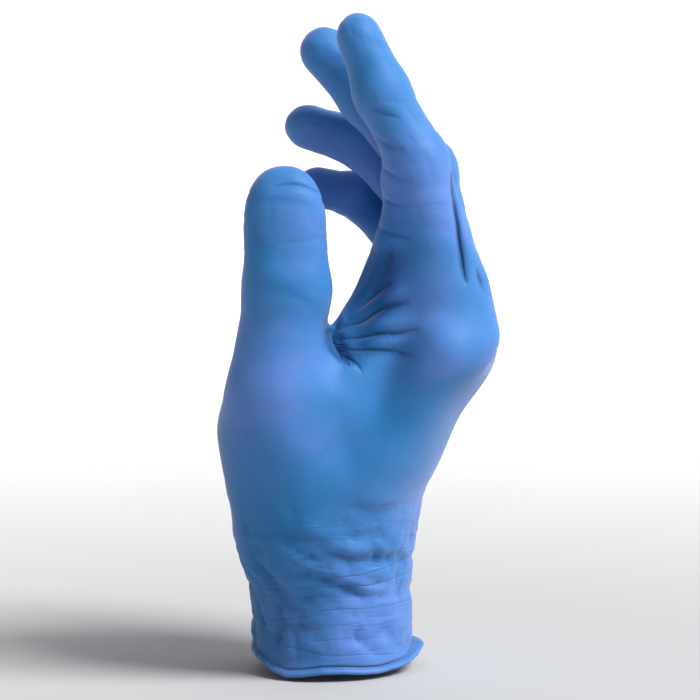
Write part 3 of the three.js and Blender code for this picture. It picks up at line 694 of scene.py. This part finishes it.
def fold_dent(points, normals):
    """Depth below the skin from all named folds, and each point's nearest fold lines.

    Across a fold: depth x (exp(-(d / width)^2) - ridge x exp(-((d - 2 width) / 1.3 width)^2)).
    Signed distances to a line and their strengths go to the material, which draws the valley's
    sharp bottom as a bump and darkens it as painted shade. Folds take turns between two such
    lists, so neighbours don't run together.
    """
    dent = np.zeros(len(points))
    away = np.full((2, len(points)), 9.0)
    strength = np.zeros((2, len(points)))
    faces_thumb = np.clip(-normals[:, 1] * 2.5 + 0.35, 0, 1)
    limit = np.where(points[:, 2] > FREE_FINGERS_FROM, FINGER_FOLDS_TO, PALM_FOLDS_TO)
    on_thumbs_side = points[:, 1] < limit
    near = np.flatnonzero((faces_thumb > 0) & on_thumbs_side)
    waver = [WAVER * value_noise(points[near], WAVER_SIZE, seed) for seed in (31, 32)]
    flat = points[near][:, [0, 2]] + np.stack(waver, axis=1)
    for turn, (line, depth, width, ridge, sharp) in enumerate(FOLDS.values()):
        line = smooth_line(line)
        best = np.full(len(flat), np.inf)
        side = np.zeros(len(flat))
        place = np.zeros(len(flat))
        for i, (a, b) in enumerate(zip(line[:-1], line[1:])):
            step = b - a
            h = np.clip((flat - a) @ step / (step @ step), 0, 1)
            offset = flat - a - h[:, None] * step
            distance = np.hypot(*offset.T)
            closer = distance < best
            best = np.where(closer, distance, best)
            turned = step[0] * offset[:, 1] - step[1] * offset[:, 0]
            side = np.where(closer, np.sign(turned), side)
            place = np.where(closer, (i + h) / (len(line) - 1), place)
        signed = best * side
        fade = np.sin(np.pi * np.clip(place, 0, 1)) ** 0.5
        valley = np.exp(-((signed / width) ** 2))
        crest = np.exp(-(((signed - 2 * width) / (1.3 * width)) ** 2))
        dent[near] += depth * fade * (valley - ridge * crest)
        if sharp == 0:
            continue
        nearest = best < np.abs(away[turn % 2, near])
        away[turn % 2, near[nearest]] = signed[nearest]
        strength[turn % 2, near[nearest]] = (sharp * fade * ramp(best, *LINE_REACH))[nearest]
    return dent * faces_thumb, away, strength * faces_thumb


# %% The crumple and the folds, as dents in the skin
# The crumple is tilted by 20 degrees and fades out from the wrist to the palm, and to the rim.
normals = unit(skin_slope(points))
height = points[:, 2]
slack = ramp(height, 62, 34) * ramp(height, -1, 5)
tilted = points @ np.array([[0.94, 0, 0.34], [0, 1, 0], [-0.34, 0, 0.94]])
broad_folds = crumple(tilted, 10, 5, (0.5, 0.7, 1.5)) ** 3 * 1.2
wrist_folds = broad_folds + crumple(tilted, 5, 9, (0.5, 0.7, 1.4)) ** 3 * 0.65
digit_folds = crumple(points, 8, 21, (0.8, 0.8, 1.8)) ** 4 * 0.35
on_digits = ramp(height, 118, 140)
named, away, strength = fold_dent(points, normals)
dent = slack * (wrist_folds - 0.5) + on_digits * digit_folds + named
dent = np.where(is_rim, 0, dent)
outer = points - normals * dent[:, None]
round_cuff = np.arctan2(points[:, 1], points[:, 0])
rim_order = np.flatnonzero(is_rim)[np.argsort(round_cuff[is_rim])]
above_rim = height - np.interp(round_cuff, round_cuff[rim_order], height[rim_order], period=2 * np.pi)
print("deepest fold:", round(float(dent.max()), 2), "mm")

# %% [markdown]
# ## Film and bead
#
# The skin gets a second face one film further in, and the two meet at the rim in a small rolled
# bead: a ring of points carried round the rim's edge in a circle, a little more than half a turn.

# %% Inner skin and bead
BEAD_FROM = 70
BEAD_TO = -250
BEAD_HANG = 0.45

inner = outer - unit(skin_slope(outer)) * FILM
rim = np.flatnonzero(is_rim)
rim = rim[np.argsort(np.arctan2(outer[rim, 1], outer[rim, 0]))]
outwards = unit((outer[rim] - inner[rim]) * [1, 1, 0])
bead_turns = np.radians(np.linspace(BEAD_FROM, BEAD_TO, BEAD_ROWS + 2)[1:-1])
bead_center = outer[rim] - outwards * FILM / 2 - [0, 0, BEAD_HANG * BEAD_DIAMETER]
bead = (
    bead_center
    + outwards * np.cos(bead_turns)[:, None, None] * BEAD_DIAMETER / 2
    + np.array([0, 0, 1]) * np.sin(bead_turns)[:, None, None] * BEAD_DIAMETER / 2
)

print("bead:", bead.shape[0], "rings of", bead.shape[1], "points")

# %% The mesh
count = len(outer)
bead_numbers = 2 * count + np.arange(BEAD_ROWS * len(rim)).reshape(BEAD_ROWS, -1)
rows = np.vstack([rim, bead_numbers, rim + count])
upper, lower = rows[:-1], rows[1:]
bead_cells = np.stack([np.roll(upper, -1, 1), upper, lower, np.roll(lower, -1, 1)], axis=-1)
bead_cells = bead_cells.reshape(-1, 4)
skin_points = np.vstack([outer, inner, bead.reshape(-1, 3)]) * MM
skin_cells = np.vstack([cells, cells[:, ::-1] + count, bead_cells])

mesh = bpy.data.meshes.new("glove_skin")
mesh.vertices.add(len(skin_points))
mesh.vertices.foreach_set("co", skin_points.astype(np.float32).ravel())
mesh.loops.add(skin_cells.size)
mesh.loops.foreach_set("vertex_index", skin_cells.astype(np.int32).ravel())
mesh.polygons.add(len(skin_cells))
mesh.polygons.foreach_set("loop_start", np.arange(0, skin_cells.size, 4, dtype=np.int32))
mesh.polygons.foreach_set("use_smooth", np.ones(len(skin_cells), bool))
mesh.update(calc_edges=True)
mesh.validate()
print("mesh:", len(mesh.vertices), "points")

# %% What the material reads from the mesh
# Only the outer face is folded, so the strengths are nothing on the inner face and the bead.
bare = np.zeros(len(bead) * len(rim))
for name, values in {
    "fold_distance_1": np.concatenate([away[0], away[0], bare + 9]),
    "fold_distance_2": np.concatenate([away[1], away[1], bare + 9]),
    "fold_strength_1": np.concatenate([strength[0], strength[0] * 0, bare]),
    "fold_strength_2": np.concatenate([strength[1], strength[1] * 0, bare]),
    # How deep the folds dent the skin. The material paints this as shade in the pocket below the index
    # finger and in the deep folds.
    "fold_shade_depth": np.concatenate([np.clip((dent + named) / 4, 0, 1), dent * 0, bare]),
    "slack": np.concatenate([np.maximum(slack, 0.25 * on_digits), slack * 0, bare]),
    "above_rim": np.concatenate([above_rim, above_rim + 9, bare + 9]),
}.items():
    mesh.attributes.new(name, "FLOAT", "POINT").data.foreach_set("value", values.astype(np.float32))
glove = bpy.data.objects.new("glove_skin", mesh)
bpy.context.collection.objects.link(glove)
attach(glove, "root")
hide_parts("glove")
print("glove skin:", len(mesh.polygons), "faces")

# %% [markdown]
# ## Nitrile
#
# Nitrile film is a strong blue with a soft, waxy shine: a rough-ish surface with a broad highlight,
# a little light scattered inside, and a colour that drifts between a greener and a paler blue.
# The folds, the creases and the line above the bead are darkened in the colour as painted shade
# in their hollows. Fine creases are too small for the net, so they're bumps in the material:
# noise drawn out sideways, cut where it crosses its middle, and a sharp line along the bottom
# of each named fold.

# %% The film's material
nitrile = bpy.data.materials.new("nitrile")
nitrile.use_nodes = True
nodes, links = nitrile.node_tree.nodes, nitrile.node_tree.links
shader = nodes["Principled BSDF"]
place = nodes.new("ShaderNodeTexCoord").outputs["Object"]


def noise(scale, detail, distortion=0.0):
    """A noise texture on the glove's own coordinates, with scale in waves to a metre."""
    node = nodes.new("ShaderNodeTexNoise")
    node.inputs["Scale"].default_value = scale
    node.inputs["Detail"].default_value = detail
    node.inputs["Distortion"].default_value = distortion
    links.new(place, node.inputs["Vector"])
    return node.outputs["Fac"]


def colour_ramp(source, stops):
    """A colour ramp through the given stops of place and colour."""
    node = nodes.new("ShaderNodeValToRGB")
    ramp_stops = node.color_ramp.elements
    for i, (at, colour) in enumerate(stops):
        stop = ramp_stops[i] if i < 2 else ramp_stops.new(at)
        stop.position = at
        stop.color = (*colour, 1)
    links.new(source, node.inputs["Fac"])
    return node.outputs["Color"]


def calculate(operation, first, second=0.0):
    """A math node on two sources, each an output or a number."""
    node = nodes.new("ShaderNodeMath")
    node.operation = operation
    for socket, source in zip(node.inputs, (first, second)):
        if isinstance(source, (int, float)):
            socket.default_value = source
        else:
            links.new(source, socket)
    return node.outputs["Value"]


def attribute(name):
    """A number stored on the film's points."""
    node = nodes.new("ShaderNodeAttribute")
    node.attribute_name = name
    return node.outputs["Fac"]


def hump(source, middle, width):
    """exp(-((source - middle) / width)^2), with lengths in millimetres."""
    share = calculate("DIVIDE", calculate("SUBTRACT", source, middle), width)
    return calculate("EXPONENT", calculate("MULTIPLY", calculate("MULTIPLY", share, share), -1.0))


# %% Fine creases
slant = nodes.new("ShaderNodeMapping")
slant.inputs["Rotation"].default_value = (0, np.radians(-20), 0)
slant.inputs["Scale"].default_value = (0.5, 0.5, 3.6)
links.new(place, slant.inputs["Vector"])


def crease_lines(scale, distortion, sharpness):
    """Thin lines where a slanted noise crosses its middle: (1 - 2 |noise - 0.5|)^sharpness."""
    node = nodes.new("ShaderNodeTexNoise")
    node.inputs["Scale"].default_value = scale
    node.inputs["Detail"].default_value = 2.5
    node.inputs["Distortion"].default_value = distortion
    links.new(slant.outputs["Vector"], node.inputs["Vector"])
    away = calculate("ABSOLUTE", calculate("SUBTRACT", node.outputs["Fac"], 0.5))
    return calculate("POWER", calculate("SUBTRACT", 1.0, calculate("MULTIPLY", away, 2.0)), sharpness)


LINE_WIDTH = 0.55


def fold_line(turn):
    """The valley bottoms of every second fold: strength x exp(-(distance / width)^2)."""
    close = hump(attribute(f"fold_distance_{turn}"), 0.0, LINE_WIDTH)
    return calculate("MULTIPLY", close, attribute(f"fold_strength_{turn}"))


# The line just above the bead is dented in the bump and darkened in the colour below as a painted
# shadow above the bead.
bead_line = hump(attribute("above_rim"), 0.7, 0.5)
folds = calculate("ADD", calculate("ADD", fold_line(1), fold_line(2)), bead_line)
fine_creases = calculate("MULTIPLY", crease_lines(58, 0.2, 16.0), 0.5)
creases = calculate("ADD", crease_lines(26, 0.2, 30.0), fine_creases)
creases = calculate("MULTIPLY", creases, attribute("slack"))
lines = calculate("ADD", folds, calculate("MULTIPLY", creases, 0.3))
grain = calculate("MULTIPLY", noise(420, 5, 1.5), 0.12)

bump = nodes.new("ShaderNodeBump")
bump.inputs["Strength"].default_value = 1.0
bump.inputs["Distance"].default_value = 0.0007
links.new(calculate("SUBTRACT", grain, lines), bump.inputs["Height"])
links.new(bump.outputs["Normal"], shader.inputs["Normal"])

# %% Colour and shine
DEEP_BLUE = (0.014, 0.165, 0.420)
MID_BLUE = (0.042, 0.182, 0.480)
PALE_BLUE = (0.085, 0.205, 0.560)
# The deep blue that paints shade into the folds, the creases and the pocket.
FOLD_SHADE_BLUE = (0.001, 0.070, 0.225)
tint = colour_ramp(noise(22, 3), [(0.36, DEEP_BLUE), (0.5, MID_BLUE), (0.62, PALE_BLUE)])
# A Mix node's two colours are its inputs 6 and 7, and the mixed colour its output 2.
shade = nodes.new("ShaderNodeMix")
shade.data_type = "RGBA"
# Painted shade: the fold lines, the creases and the line above the bead darken the blue towards the
# deep fold colour, and deep fold dents darken it further.
line_shade = calculate("MULTIPLY", lines, 0.4)
painted_fold_shade = calculate("ADD", line_shade, calculate("MULTIPLY", attribute("fold_shade_depth"), 0.9))
links.new(calculate("MINIMUM", painted_fold_shade, 0.9), shade.inputs["Factor"])
links.new(tint, shade.inputs[6])
shade.inputs[7].default_value = (*FOLD_SHADE_BLUE, 1)
links.new(shade.outputs[2], shader.inputs["Base Color"])
rough = nodes.new("ShaderNodeMapRange")
rough.inputs["To Min"].default_value = 0.50
rough.inputs["To Max"].default_value = 0.62
links.new(noise(60, 4), rough.inputs["Value"])
links.new(rough.outputs["Result"], shader.inputs["Roughness"])
shader.inputs["Specular IOR Level"].default_value = 0.22
shader.inputs["Sheen Weight"].default_value = 0.16
shader.inputs["Sheen Roughness"].default_value = 0.5
shader.inputs["Sheen Tint"].default_value = (1.0, 0.8, 1.0, 1)
shader.inputs["Subsurface Weight"].default_value = 0.12
shader.inputs["Subsurface Radius"].default_value = (0.2, 0.6, 1.0)
shader.inputs["Subsurface Scale"].default_value = 0.004
glove.data.materials.append(nitrile)

# %% [markdown]
# ## Floor, light and camera
#
# The glove is shot on plain white. One broad soft light stands to the right, in front and above, so
# the glove's back is bright and the ball of the thumb falls into a deep blue shade. The
# floor is pale paper, painted greyer round the glove as painted shade, and the sky behind it is the
# brightest.

# %% Floor
FLOOR_Z = cad_low[2] - 0.0005
RADII = np.array([0.05, 0.3, 0.6, 1.0, 2.0, 5.0, 15.0, 40.0])
turns = np.radians(np.arange(0, 360, 5))[:, None]
discs = np.stack([RADII * np.cos(turns), RADII * np.sin(turns), FLOOR_Z + 0 * RADII * turns], axis=2)
number = np.arange(len(turns) * len(RADII)).reshape(len(turns), -1)
ahead = np.roll(number, -1, axis=0)
quads = np.stack([number[:, :-1], number[:, 1:], ahead[:, 1:], ahead[:, :-1]], axis=-1)
floor_faces = quads.reshape(-1, 4).tolist() + [number[:, 0].tolist()]
floor_mesh = bpy.data.meshes.new("floor")
floor_mesh.from_pydata(discs.reshape(-1, 3).tolist(), [], floor_faces)
floor = bpy.data.objects.new("floor", floor_mesh)
bpy.context.collection.objects.link(floor)

paper = bpy.data.materials.new("paper")
paper.use_nodes = True
paper_nodes, paper_links = paper.node_tree.nodes, paper.node_tree.links
out_from_middle = paper_nodes.new("ShaderNodeVectorMath")
out_from_middle.operation = "LENGTH"
paper_links.new(paper_nodes.new("ShaderNodeTexCoord").outputs["Object"], out_from_middle.inputs[0])
# Painted shade: the paper is darker near the glove and paler further out, which also throws less light
# back up onto the glove's underside.
whiten = paper_nodes.new("ShaderNodeMapRange")
for setting, value in {"From Min": 0.15, "From Max": 1.2, "To Min": 0.45, "To Max": 0.88}.items():
    whiten.inputs[setting].default_value = value
paper_links.new(out_from_middle.outputs["Value"], whiten.inputs["Value"])
paper_links.new(whiten.outputs["Result"], paper_nodes["Principled BSDF"].inputs["Base Color"])
paper_nodes["Principled BSDF"].inputs["Roughness"].default_value = 0.9
floor_mesh.materials.append(paper)

# %% The studio's sky, brightest behind the glove
AIM = Vector((5.4, -15, 99.2)) * MM

world = bpy.data.worlds.new("studio")
bpy.context.scene.world = world
world.use_nodes = True
sky_nodes, sky_links = world.node_tree.nodes, world.node_tree.links
background = sky_nodes["Background"]
background.inputs["Color"].default_value = (0.97, 0.98, 1.0, 1)
backwards = sky_nodes.new("ShaderNodeVectorMath")
backwards.operation = "DOT_PRODUCT"
backwards.inputs[1].default_value = (0.35, 0.9, 0)
sky_links.new(sky_nodes.new("ShaderNodeTexCoord").outputs["Generated"], backwards.inputs[0])
brighter = sky_nodes.new("ShaderNodeMapRange")
brighter.interpolation_type = "SMOOTHSTEP"
for setting, value in {"From Min": 0.0, "From Max": 0.82, "To Min": 0.25, "To Max": 1.15}.items():
    brighter.inputs[setting].default_value = value
sky_links.new(backwards.outputs["Value"], brighter.inputs["Value"])
sky_links.new(brighter.outputs["Result"], background.inputs["Strength"])

# %% The key light


def aim(item, place):
    """Stands an object at a place in metres and turns it to look at the glove."""
    item.location = place
    item.rotation_euler = (AIM - item.location).to_track_quat("-Z", "Y").to_euler()
    bpy.context.collection.objects.link(item)


key = bpy.data.lights.new("key", "SUN")
key.energy = 4.8
key.angle = np.radians(30)
aim(bpy.data.objects.new("key", key), Vector((2.15, -1.25, 2.75)))

# %% Camera
DISTANCE = 0.900
ELEVATION = np.radians(4)
LENS = 144.6
camera = bpy.data.cameras.new("camera")
camera.lens = LENS
camera.sensor_width = 36
eye = bpy.data.objects.new("camera", camera)
aim(eye, AIM + DISTANCE * Vector((0, -np.cos(ELEVATION), np.sin(ELEVATION))))
bpy.context.scene.camera = eye
bpy.context.scene.view_settings.view_transform = "Standard"
